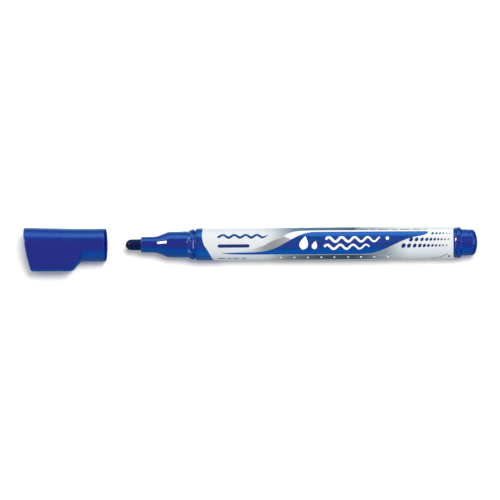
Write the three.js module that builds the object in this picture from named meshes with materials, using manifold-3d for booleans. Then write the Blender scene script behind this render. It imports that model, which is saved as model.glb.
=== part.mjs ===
// Whiteboard marker with liquid ink and a bullet nib. It lies on its side with the cap
// pulled off, in line with the nib.
//
// Units are millimetres. +X runs along the pen from the nib to the end plug, +Z is up and
// z = 0 is the surface that the marker lies on. The origin is on that surface, under the
// middle of the laid-out length. The pen and the cap share one axis, parallel to X.
import * as THREE from 'three';
import { mergeVertices } from 'three/addons/utils/BufferGeometryUtils.js';
import Module from 'manifold-3d';

// ---------------------------------------------------------------- driving dimensions
const AXIS_Z = 6.25;            // height of the common axis over the surface
const AXIS_Y = 1.7544;          // sets the fin and the cap's back equally far from y = 0

const BARREL_R = 5.98;          // barrel, outside
const BARREL_BORE = 5.1;        // barrel, inside: the ink tank
const BARREL_FRONT = -20.32;
const BARREL_REAR = 77.93;

const LABEL_R = 6.06;           // printed film over the barrel, outside
const LABEL_IN = 6.0;
const LABEL_FRONT = -19.35;
const LABEL_REAR = 76.78;

const NIB_TIP = -47.10;
const NIB_R = 2.09;
const NIB_BACK = -24.8;

const NOSE_FACE = -41.19;       // front face of the nose, where the nib comes out
const NOSE_BORE = 2.2;
const SPIGOT_R = 5.0;           // part of the nose pressed into the barrel
const SPIGOT_BORE = 4.35;
const SPIGOT_END = -8.0;

const COMB_CORE_R = 2.9;        // ink collector
const COMB_FIN_R = 4.15;
const COMB_FRONT = -31.4;
const COMB_BACK = -9.0;
const COMB_FINS = 12;
const COMB_PITCH = 1.55;
const COMB_FIN_T = 0.7;

const WICK_R = 1.2;
const WICK_FRONT = -24.5;
const WICK_BACK = 14.0;

const PLUG_FACE = 78.01;        // face of the plug's collar against the barrel's end
const PLUG_COLLAR_R = 5.78;
const PLUG_END = 85.87;

const CAP_MOUTH = -54.53;       // plane of the cap's mouth with the cap off
const CAP_R = 6.25;             // mouth band and flanks, distance from the axis
const CAP_NECK_R = 6.2;
const CAP_BORE_END = -82.9;
const FIN_BOTTOM = 9.83;        // flat edge of the anti-roll fin, from the axis
const FIN_CORNER_R = 1.1;
const FLANK_TILT = 10;          // degrees, each flank leans in towards the fin's edge
const FLARE_START = -66.7;      // from here the cap's back swells towards its end
const FLARE_RISE = 0.4857 / 19.17;

const SEAL_MOUTH = -69.73;      // inner sealing cup that closes round the nose
const SEAL_R = 4.0;
const SEAL_BORE = 3.25;
const SEAL_BACK = -82.73;

const SEG = 36;                 // facets round the outer pieces
const SEG_IN = 24;              // facets round the small inner pieces

// ---------------------------------------------------------------- solid helpers
const wasm = await Module();
wasm.setup();

// A closed geometry as a solid with its faces pointing out.
function solid(geometry) {
  let g = geometry.index ? geometry.toNonIndexed() : geometry.clone();
  g.deleteAttribute('normal');
  g.deleteAttribute('uv');
  g = mergeVertices(g, 1e-5);
  const p = g.attributes.position;
  const idx = [];
  for (let i = 0; i < g.index.count; i += 3) {
    const [a, b, c] = [g.index.getX(i), g.index.getX(i + 1), g.index.getX(i + 2)];
    if (a !== b && b !== c && c !== a) idx.push(a, b, c);
  }
  let volume = 0;
  const [u, v, w] = [new THREE.Vector3(), new THREE.Vector3(), new THREE.Vector3()];
  for (let i = 0; i < idx.length; i += 3) {
    u.fromBufferAttribute(p, idx[i]);
    v.fromBufferAttribute(p, idx[i + 1]);
    w.fromBufferAttribute(p, idx[i + 2]);
    volume += u.dot(v.cross(w));
  }
  if (volume < 0) for (let i = 0; i < idx.length; i += 3) [idx[i + 1], idx[i + 2]] = [idx[i + 2], idx[i + 1]];
  return new wasm.Manifold(new wasm.Mesh({
    numProp: 3,
    vertProperties: new Float32Array(p.array),
    triVerts: new Uint32Array(idx),
  }));
}

function geometryOf(body) {
  const m = body.getMesh();
  const g = new THREE.BufferGeometry();
  const xyz = new Float32Array(m.numVert * 3);
  for (let i = 0; i < m.numVert; i++) {
    for (let k = 0; k < 3; k++) xyz[3 * i + k] = m.vertProperties[i * m.numProp + k];
  }
  g.setAttribute('position', new THREE.BufferAttribute(xyz, 3));
  g.setIndex(new THREE.BufferAttribute(new Uint32Array(m.triVerts), 1));
  g.computeVertexNormals();
  return g;
}

// A turned piece: [x, radius] points along the pen's axis. The radii are those of the
// flats, and a flat faces straight up and straight down.
function turned(points, seg = SEG) {
  const k = 1 / Math.cos(Math.PI / seg);
  const line = points.map(([x, r]) => new THREE.Vector2(r * k, x));
  const g = new THREE.LatheGeometry(line, seg, Math.PI / seg, Math.PI * 2);
  g.rotateZ(-Math.PI / 2);
  return solid(g);
}

// A box from its two corners.
function block(lo, hi) {
  const g = new THREE.BoxGeometry(hi[0] - lo[0], hi[1] - lo[1], hi[2] - lo[2]);
  g.translate((lo[0] + hi[0]) / 2, (lo[1] + hi[1]) / 2, (lo[2] + hi[2]) / 2);
  return solid(g);
}

// An outline of [x, v] points, v being measured from the axis towards the fin's edge,
// extruded across the fin. In the cap's own frame the fin points along -Y.
function sideProfile(points, half = 9) {
  const shape = new THREE.Shape(points.map(([x, v]) => new THREE.Vector2(x, -v)));
  const g = new THREE.ExtrudeGeometry(shape, { depth: 2 * half, bevelEnabled: false, steps: 1 });
  g.translate(0, 0, -half);
  return solid(g);
}

// The cap's cross-section: a round back, two flanks that run tangent from it, and a flat
// edge with rounded corners. inset moves the whole outline inwards.
function capSection(inset = 0) {
  const a = THREE.MathUtils.degToRad(FLANK_TILT);
  const step = Math.PI / 18;
  const r = (CAP_R - inset) / Math.cos(step / 2);
  const pts = [];
  for (let i = 0; i < 20; i++) {
    const t = step / 2 - i * step;
    pts.push([r * Math.cos(t), r * Math.sin(t)]);
  }
  const rc = Math.max(FIN_CORNER_R - inset, 0.4);
  const vc = FIN_BOTTOM - inset - rc;
  const wc = (CAP_R - inset - rc - vc * Math.sin(a)) / Math.cos(a);
  const corner = [];
  for (let i = 0; i <= 3; i++) {
    const t = a + (i / 3) * (Math.PI / 2 - a);
    corner.push([wc + rc * Math.cos(t), vc + rc * Math.sin(t)]);
  }
  for (let i = 3; i >= 0; i--) pts.push([-corner[3 - i][0], corner[3 - i][1]]);
  for (let i = 3; i >= 0; i--) pts.push(corner[i]);
  return pts;            // [w across, v towards the fin]
}

// The section extruded along X in two steps. Behind FLARE_START the round back grows and
// moves away from the fin, while the flanks stay flat.
function capPrism(inset, xFront, xMid, xRear) {
  const pts = capSection(inset);
  const shape = new THREE.Shape(pts.map(([w, v]) => new THREE.Vector2(w, -v)));
  const g = new THREE.ExtrudeGeometry(shape, { depth: 2, bevelEnabled: false, steps: 2 });
  const p = g.attributes.position;
  const a = THREE.MathUtils.degToRad(FLANK_TILT);
  const rFlat = CAP_R - inset;
  const rVert = rFlat / Math.cos(Math.PI / 36);
  for (let i = 0; i < p.count; i++) {
    let w = p.getX(i);
    let y = p.getY(i);
    const x = [xFront, xMid, xRear][Math.round(p.getZ(i))];
    const c = Math.max(0, (FLARE_START - x) * FLARE_RISE);
    if (Math.abs(Math.hypot(w, y) - rVert) < 1e-4) {
      const s = (rFlat + c * Math.sin(a)) / rFlat;
      w *= s;
      y = y * s + c;
    }
    p.setXYZ(i, x, y, w);
  }
  return solid(g);
}

// ---------------------------------------------------------------- group and materials
const marker = new THREE.Group();
const pen = new THREE.Group();
pen.position.set(0, AXIS_Y, AXIS_Z);
const cap = new THREE.Group();
cap.position.set(0, AXIS_Y, AXIS_Z);
cap.rotation.x = THREE.MathUtils.degToRad(FLANK_TILT);   // one flank lies on the surface
marker.add(pen, cap);

const paint = (color, roughness, metalness = 0) =>
  new THREE.MeshStandardMaterial({ color, roughness, metalness });
const bluePlastic = paint(0x243489, 0.32);
const film = paint(0xe4e8ea, 0.34, 0.1);
const inkedFelt = paint(0x14183a, 0.85);
const whiteFibre = paint(0xe9e7df, 0.9);
const naturalPlastic = paint(0xe6e8e6, 0.5);

function add(group, name, body, material) {
  const mesh = new THREE.Mesh(geometryOf(body), material);
  mesh.name = name;
  group.add(mesh);
}

// ---------------------------------------------------------------- pen
// Barrel: a plain tube that is the ink tank. Its front edge is rounded over.
add(pen, 'barrel', turned([
  [BARREL_FRONT, BARREL_BORE], [BARREL_FRONT, 5.42], [-20.12, 5.68], [-19.8, 5.87],
  [-19.42, BARREL_R], [77.68, BARREL_R], [BARREL_REAR, 5.73], [BARREL_REAR, BARREL_BORE],
  [BARREL_FRONT, BARREL_BORE],
]), bluePlastic);

// Label: one printed film wrapped round the barrel.
add(pen, 'label_sleeve', turned([
  [LABEL_FRONT, LABEL_IN], [LABEL_FRONT, LABEL_R], [LABEL_REAR, LABEL_R],
  [LABEL_REAR, LABEL_IN], [LABEL_FRONT, LABEL_IN],
]), film);

// Nose: conical grip for the nib, a long neck that the cap closes on, a low snap bead, the
// flange that centres the cap's mouth, a groove, and the spigot pressed into the barrel.
add(pen, 'nose_section', turned([
  [NOSE_FACE, NOSE_BORE], [NOSE_FACE, 2.42], [-40.98, 2.66], [-40.45, 2.87],
  [-39.79, 2.97], [-37.9, 2.99], [-36.38, 3.05], [-35.1, 3.19], [-34.11, 3.56],
  [-32.59, 4.1], [-31.08, 4.67], [-30.2, 4.84], [-25.4, 4.9], [-25.1, 4.98],
  [-24.55, 4.98], [-23.69, 4.9], [-22.37, 5.68], [-21.99, 5.75], [-21.46, 5.75],
  [-21.46, 5.25], [-20.4, 5.25], [-20.4, SPIGOT_R], [-8.5, SPIGOT_R], [SPIGOT_END, 4.8],
  [SPIGOT_END, SPIGOT_BORE], [-29.6, SPIGOT_BORE], [-30.3, 3.9], [-33.6, NOSE_BORE],
  [NOSE_FACE, NOSE_BORE],
]), bluePlastic);

// Nib: a rod of bonded fibre with a rounded point, soaked with ink.
add(pen, 'nib', turned([
  [NIB_TIP, 0], [-47.02, 0.62], [-46.78, 1.13], [-46.4, 1.55], [-45.9, 1.86],
  [-45.28, 2.03], [-44.9, NIB_R], [-25.1, NIB_R], [NIB_BACK, 1.8], [NIB_BACK, 0],
], SEG_IN), inkedFelt);

// Ink collector: a comb of thin fins on a hollow core. Its front socket holds the nib's
// back end, the bore behind holds the wick, and a slot feeds the gaps between the fins.
const comb = [[COMB_FRONT, NOSE_BORE], [COMB_FRONT, COMB_CORE_R]];
for (let i = 0; i < COMB_FINS; i++) {
  const x = -28.6 + i * COMB_PITCH;
  comb.push([x, COMB_CORE_R], [x, COMB_FIN_R], [x + COMB_FIN_T, COMB_FIN_R], [x + COMB_FIN_T, COMB_CORE_R]);
}
comb.push([COMB_BACK, COMB_CORE_R], [COMB_BACK, 1.35], [-24.65, 1.35], [-24.65, NOSE_BORE],
  [COMB_FRONT, NOSE_BORE]);
add(pen, 'ink_collector', turned(comb, SEG_IN)
  .subtract(block([-29.2, -0.3, 2.5], [COMB_BACK + 0.5, 0.3, 5])), naturalPlastic);

// Feed wick: a fibre rod from the tank to the back of the nib.
add(pen, 'feed_wick', turned([
  [WICK_FRONT, 0], [WICK_FRONT, 1.0], [WICK_FRONT + 0.3, WICK_R],
  [WICK_BACK - 0.5, WICK_R], [WICK_BACK, 0.8], [WICK_BACK, 0],
], SEG_IN), whiteFibre);

// Tank divider: a press-fit cup between the collector's chamber and the tank, with a hub
// that the wick passes through.
add(pen, 'tank_divider', turned([
  [-7.7, 1.4], [-7.7, 4.8], [-7.4, 5.0], [-3.7, 5.0], [-3.7, 4.2], [-6.7, 4.2],
  [-6.7, 2.3], [-3.2, 2.1], [-3.2, 1.4], [-7.7, 1.4],
], SEG), naturalPlastic);

// End plug: a collar against the barrel's end, a stepped tail with a fine groove and a
// domed end, and a hollow spigot with two sealing ribs inside the barrel.
add(pen, 'end_plug', turned([
  [70.0, 3.9], [70.0, 4.6], [70.6, 4.88], [72.0, 4.88], [72.4, 5.04], [72.8, 5.04],
  [73.2, 4.88], [75.0, 4.88], [75.4, 5.04], [75.8, 5.04], [76.2, 4.88], [PLUG_FACE, 4.88],
  [PLUG_FACE, 5.62], [78.18, PLUG_COLLAR_R], [79.3, PLUG_COLLAR_R], [79.52, 5.55],
  [79.75, 5.2], [80.29, 5.0], [82.37, 4.96], [82.45, 4.78], [82.74, 4.78], [82.82, 4.93],
  [83.69, 4.9], [84.2, 4.7], [84.75, 4.22], [85.2, 3.45], [85.6, 2.3], [PLUG_END, 0],
  [83.6, 0], [83.6, 3.4], [82.4, 3.7], [70.0, 3.9],
]), bluePlastic);

// ---------------------------------------------------------------- cap
// Side outline of the cap's rear part: a slanted end, the fin's straight edge, the fin's
// sloping front, and the back that flares a little towards the end.
const rear = [[-85.87, -6.83], [-85.46, -2.3], [-85.17, 0], [-84.75, 2.3], [-84.13, 4.6],
  [-83.58, 6.8], [-83.06, 9.0]];
const capOutline = [...rear, [-82.66, 9.62], [-82.0, FIN_BOTTOM],
  [-68.2, FIN_BOTTOM], [-67.5, 9.52], [-64.97, 6.53], [-64.25, 5.2], [-63.45, 3.0],
  [-63.0, 0.0], [-62.9, -4.0], [-64.0, -7.5], [-85.0, -7.5]];
const capBody = capPrism(0, -62.0, FLARE_START, -88).intersect(sideProfile(capOutline));

// Round front part of the cap, with a low band round its mouth.
const capTube = turned([
  [-78.0, 0], [-78.0, CAP_NECK_R], [-57.85, CAP_NECK_R], [-57.7, CAP_R], [-54.95, CAP_R],
  [-54.65, 6.13], [CAP_MOUTH, 5.98], [CAP_MOUTH, 0],
]);

// Bore: wide at the mouth for the pen's flange, then close round the neck, then narrower
// round the sealing cup.
const capBore = turned([
  [CAP_MOUTH + 1, 0], [CAP_MOUTH + 1, 5.95], [CAP_MOUTH, 5.95], [-54.85, 5.82], [-56.7, 5.82],
  [-57.8, 5.12], [-66.5, 5.08], [-67.2, 4.78], [CAP_BORE_END, 4.7], [CAP_BORE_END, 0],
]);

// The fin is cored out from the rear, and two slots in the end wall let air through past
// the sealing cup.
const finCore = capPrism(1.15, -62.0, FLARE_START, -90)
  .intersect(sideProfile([[-90, 2.5], [-65.4, 2.5], [-65.89, 5.76], [-68.67, 9.06], [-90, 9.06]]))
  .subtract(turned([[-92, 0], [-92, 5.95], [-60, 5.95], [-60, 0]]));
const ventTop = block([-88, 3.55, -1.7], [-82.5, 4.45, 1.7]);
const ventLow = block([-88, -4.45, -1.7], [-82.5, -3.55, 1.7]);
add(cap, 'cap_shell', capBody.add(capTube).subtract(capBore).subtract(finCore)
  .subtract(ventTop).subtract(ventLow), bluePlastic);

// Sealing cup: it closes round the nose's front when the cap is on. Its base flange sits
// in the bore's end and is notched for the air slots.
add(cap, 'cap_inner_seal', turned([
  [SEAL_MOUTH, SEAL_BORE + 0.3], [SEAL_MOUTH, 3.8], [SEAL_MOUTH - 0.3, SEAL_R],
  [-81.93, SEAL_R], [-81.93, 4.6], [SEAL_BACK, 4.6], [SEAL_BACK, 0], [-81.73, 0],
  [-81.73, 3.0], [-81.3, 3.22], [SEAL_MOUTH - 0.6, SEAL_BORE], [SEAL_MOUTH, SEAL_BORE + 0.3],
]).subtract(block([-83, 4.12, -1.7], [-81, 6, 1.7]))
  .subtract(block([-83, -6, -1.7], [-81, -4.12, 1.7])), naturalPlastic);

export default marker;
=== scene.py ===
import math
import bpy
import numpy as np
from mathutils import Matrix, Vector


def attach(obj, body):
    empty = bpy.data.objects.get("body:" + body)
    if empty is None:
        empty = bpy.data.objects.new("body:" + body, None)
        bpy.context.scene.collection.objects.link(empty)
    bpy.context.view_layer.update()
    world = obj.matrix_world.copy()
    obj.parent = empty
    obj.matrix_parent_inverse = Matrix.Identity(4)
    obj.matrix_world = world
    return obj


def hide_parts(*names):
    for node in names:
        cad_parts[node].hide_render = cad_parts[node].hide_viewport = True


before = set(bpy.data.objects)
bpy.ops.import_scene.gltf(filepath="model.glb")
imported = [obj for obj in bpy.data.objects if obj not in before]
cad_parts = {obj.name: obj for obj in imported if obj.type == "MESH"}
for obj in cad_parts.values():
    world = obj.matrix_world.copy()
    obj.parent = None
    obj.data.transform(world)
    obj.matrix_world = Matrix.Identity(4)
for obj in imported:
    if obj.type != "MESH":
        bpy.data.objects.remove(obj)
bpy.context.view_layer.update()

SCENE = bpy.context.scene
MM = 0.001
AY, AZ = 1.7544, 6.25          # the pen's and the cap's axis, in mm
TILT = math.radians(10.0)      # the cap is turned by this, so that a flank lies flat


# ------------------------------------------------------------------ mesh helpers
def make(name, verts, faces, normals=None):
    """verts in mm, in the row frame."""
    me = bpy.data.meshes.new(name)
    v = np.asarray(verts, dtype=np.float64) * MM
    me.from_pydata(v.tolist(), [], [list(map(int, f)) for f in faces])
    me.update()
    me.shade_smooth()
    if normals is not None:
        n = np.asarray(normals, dtype=np.float64)
        n = n / np.maximum(np.linalg.norm(n, axis=1, keepdims=True), 1e-12)
        me.normals_split_custom_set_from_vertices(n.tolist())
    ob = bpy.data.objects.new(name, me)
    SCENE.collection.objects.link(ob)
    return ob


def rounded(points, closed, step=11.0):
    """points are (x, r, fillet). Gives x, r and the outward normal along the path, with the
    corners turned into arcs. The path runs towards +x on the outside."""
    n = len(points)
    out = []
    for i, (x, r, f) in enumerate(points):
        if not closed and i in (0, n - 1):
            j = 1 if i == 0 else n - 2
            d = np.array([points[j][0] - x, points[j][1] - r], float) * (1 if i == 0 else -1)
            d /= np.linalg.norm(d)
            out.append((x, r, -d[1], d[0]))
            continue
        p = np.array([x, r], float)
        a = np.array(points[(i - 1) % n][:2], float)
        b = np.array(points[(i + 1) % n][:2], float)
        la, lb = np.linalg.norm(p - a), np.linalg.norm(b - p)
        d0, d1 = (p - a) / la, (b - p) / lb
        turn = math.atan2(d0[0] * d1[1] - d0[1] * d1[0], float(d0 @ d1))
        t = min(f * abs(math.tan(turn / 2)), 0.49 * la, 0.49 * lb)
        n0 = np.array([-d0[1], d0[0]])
        if abs(turn) < 1e-4:
            out.append((x, r, n0[0], n0[1]))
            continue
        k = max(2, math.ceil(abs(math.degrees(turn)) / step))
        rad = t / abs(math.tan(turn / 2))
        start = p - d0 * t
        c = start + (n0 if turn > 0 else -n0) * rad
        u = start - c
        for q in range(k + 1):
            w = turn * q / k
            cs, sn = math.cos(w), math.sin(w)
            e = np.array([cs * u[0] - sn * u[1], sn * u[0] + cs * u[1]])
            m = np.array([cs * n0[0] - sn * n0[1], sn * n0[0] + cs * n0[1]])
            out.append((c[0] + e[0], c[1] + e[1], m[0], m[1]))
    return out


def lathe(name, points, closed=True, seg=144, step=11.0):
    prof = rounded(points, closed, step)
    th = np.arange(seg) * 2 * math.pi / seg
    cy, sz = np.cos(th), np.sin(th)
    verts, norms, rings = [], [], []
    for x, r, nx, nr in prof:
        if r < 1e-6:
            rings.append([len(verts)])
            verts.append((x, AY, AZ))
            norms.append((1.0 if nx > 0 else -1.0, 0, 0))
        else:
            rings.append(list(range(len(verts), len(verts) + seg)))
            for c, s in zip(cy, sz):
                verts.append((x, AY + r * c, AZ + r * s))
                norms.append((nx, nr * c, nr * s))
    faces = []
    pairs = list(zip(rings, rings[1:])) + ([(rings[-1], rings[0])] if closed else [])
    for a, b in pairs:
        for j in range(seg):
            k = (j + 1) % seg
            if len(a) == 1 and len(b) == 1:
                continue
            if len(a) == 1:
                faces.append((a[0], b[k], b[j]))
            elif len(b) == 1:
                faces.append((a[j], a[k], b[0]))
            else:
                faces.append((a[j], a[k], b[k], b[j]))
    return make(name, verts, faces, norms)


# ------------------------------------------------------------------ distance-field shapes
def rmax(a, b, r):
    """Intersection whose outer edge is rounded to r."""
    return np.minimum(np.maximum(a, b), -r) + np.hypot(np.maximum(a + r, 0), np.maximum(b + r, 0))


def rmin(a, b, r):
    """Union whose inner corner is filled to r."""
    return np.maximum(np.minimum(a, b), r) - np.hypot(np.maximum(r - a, 0), np.maximum(r - b, 0))


def sstep(x, a, b):
    t = np.clip((x - a) / (b - a), 0, 1)
    return t * t * (3 - 2 * t)


def surface(f, lo, hi, h):
    """Closed quad mesh on f = 0, one vertex per crossed cell, drawn onto the surface, with
    the field's own gradient as normals."""
    ax = [np.arange(l, u + h, h) for l, u in zip(lo, hi)]
    F = np.empty([len(a) for a in ax])
    Y, Z = np.meshgrid(ax[1], ax[2], indexing="ij")
    for i, x in enumerate(ax[0]):
        F[i] = f(np.full_like(Y, x), Y, Z)
    F[np.abs(F) < 1e-9] = 1e-9
    S = F < 0
    nx, ny, nz = F.shape
    c = np.zeros((nx - 1, ny - 1, nz - 1), dtype=np.int8)
    for i in (0, 1):
        for j in (0, 1):
            for k in (0, 1):
                c += S[i:nx - 1 + i, j:ny - 1 + j, k:nz - 1 + k]
    I, J, K = np.nonzero((c > 0) & (c < 8))
    num = np.zeros((len(I), 3))
    cnt = np.zeros(len(I))
    for axis in range(3):
        for p in (0, 1):
            for q in (0, 1):
                o0 = [0, 0, 0]
                others = [d for d in range(3) if d != axis]
                o0[others[0]], o0[others[1]] = p, q
                o1 = list(o0)
                o1[axis] = 1
                f0 = F[I + o0[0], J + o0[1], K + o0[2]]
                f1 = F[I + o1[0], J + o1[1], K + o1[2]]
                hit = (f0 < 0) != (f1 < 0)
                t = np.where(hit, f0 / np.where(hit, f0 - f1, 1), 0)
                for d in range(3):
                    num[:, d] += np.where(hit, o0[d] + (t if d == axis else 0), 0)
                cnt += hit
    P = num / cnt[:, None]
    P[:, 0] = ax[0][0] + (P[:, 0] + I) * h
    P[:, 1] = ax[1][0] + (P[:, 1] + J) * h
    P[:, 2] = ax[2][0] + (P[:, 2] + K) * h
    ids = np.full(c.shape, -1, dtype=np.int64)
    ids[I, J, K] = np.arange(len(I))
    faces = []
    for axis in range(3):
        a, b = [(1, 2), (2, 0), (0, 1)][axis]
        s0 = [slice(1, n - 1) for n in F.shape]
        s1 = list(s0)
        s0[axis] = slice(0, F.shape[axis] - 1)
        s1[axis] = slice(1, F.shape[axis])
        A, B = S[tuple(s0)], S[tuple(s1)]
        e = np.argwhere(A != B)
        up = A[tuple(e.T)]
        base = e + 1
        base[:, axis] -= 1
        quad = []
        for da, db in ((-1, -1), (0, -1), (0, 0), (-1, 0)):
            m = base.copy()
            m[:, a] += da
            m[:, b] += db
            quad.append(ids[tuple(m.T)])
        quad = np.stack(quad, 1)
        quad[~up] = quad[~up][:, ::-1]
        faces.append(quad)
    faces = np.concatenate(faces)

    def grad(P):
        e = 0.004
        g = np.empty_like(P)
        for d in range(3):
            o = np.zeros(3)
            o[d] = e
            g[:, d] = (f(*(P + o).T) - f(*(P - o).T)) / (2 * e)
        return g
    for _ in range(3):
        g = grad(P)
        m = np.maximum((g * g).sum(1), 0.05)
        s = np.clip(f(*P.T) / m, -0.5 * h, 0.5 * h)
        P = P - g * s[:, None]
    return P, faces, grad(P)


def turn_cap(P):
    """From the cap's own frame, in which the fin points along -Y, to the row frame."""
    c, s = math.cos(TILT), math.sin(TILT)
    return np.stack([P[:, 0], P[:, 1] * c - P[:, 2] * s, P[:, 1] * s + P[:, 2] * c], 1)


# ------------------------------------------------------------------ the cap's shape
FRONT_V = np.array([-9.0, -4.0, 0.0, 2.0, 4.0, 5.4, 6.6, 8.2, 10.5, 13.0])
FRONT_X = np.array([-62.9, -62.9, -63.0, -63.2, -63.75, -64.3, -65.05, -66.38, -68.32, -70.4])


def front_x(v):
    """Where the fin's sloping front is, at v mm from the axis: a smoothed outline."""
    s = 0
    for d, w in ((-0.8, 0.2), (-0.4, 0.2), (0, 0.2), (0.4, 0.2), (0.8, 0.2)):
        s = s + w * np.interp(v + d, FRONT_V, FRONT_X)
    return s


def cap_field(x, y, z):
    v, w = -y, np.abs(z)
    rho = np.hypot(v, w)
    ca, sa = math.cos(TILT), math.sin(TILT)
    rf = 6.235
    u = -66.7 - x
    c = 0.02534 * 0.5 * (u + np.sqrt(u * u + 2.0))
    vv = v + c
    plane = w * ca + v * sa - rf
    back = np.where(-w * sa + vv * ca > 0, plane, np.hypot(w, vv) - (rf + c * sa))
    bottom = v - 9.82
    U = rmax(back, bottom, 1.05)
    fx = front_x(v)
    slope = (front_x(v + 0.05) - front_x(v - 0.05)) / 0.1
    front = (x - fx) / np.sqrt(1 + slope * slope)
    tube = rho - (6.195 + 0.05 * sstep(x, -57.95, -57.7))
    body = rmin(tube, front, 1.1)
    edge = np.clip(0.8 * (tube - back - 0.06), 0.0, 0.65)
    outer = rmax(U, body, edge)
    rx = -85.15 + 0.15785 * v + 0.007643 * v * v + 0.008 * w * w
    rs = 0.15785 + 0.015286 * v
    rear = (rx - x) / np.sqrt(1 + rs * rs)
    outer = rmax(outer, rear, 0.5)
    outer = rmax(outer, x + 54.53, 0.38)
    # bore
    rb = np.interp(x, [-84, -82.9, -67.3, -66.5, -57.8, -56.7, -55.0, -54.53, -54.0],
                   [4.7, 4.7, 4.78, 5.08, 5.12, 5.82, 5.82, 5.97, 6.2])
    bore = rmax(rho - rb, -82.9 - x, 0.35)
    shell = rmax(outer, -bore, 0.12)
    # cored fin
    ui = rmax(back + 1.15, bottom + 1.15, 0.7)
    core = rmax(rmax(ui, 5.95 - rho, 0.35), (x - fx + 1.4) / np.sqrt(1 + slope * slope), 0.4)
    core = rmax(core, 2.5 - v, 0.35)
    shell = rmax(shell, -core, 0.22)
    # air slots
    for v0 in (4.0, -4.0):
        qx, qv = w - 1.25, np.abs(v - v0)
        slot = np.hypot(np.maximum(qx, 0), qv) - 0.45
        slot = np.maximum(slot, x + 82.5)
        shell = rmax(shell, -slot, 0.1)
    return shell


def build_cap():
    P, F, N = surface(cap_field, (-86.3, -10.3, -6.7), (-54.0, 7.3, 6.7), 0.17)
    P, N = turn_cap(P), turn_cap(N)
    P[:, 1] += AY
    P[:, 2] += AZ
    return make("cap_body", P, F, N)


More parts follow.
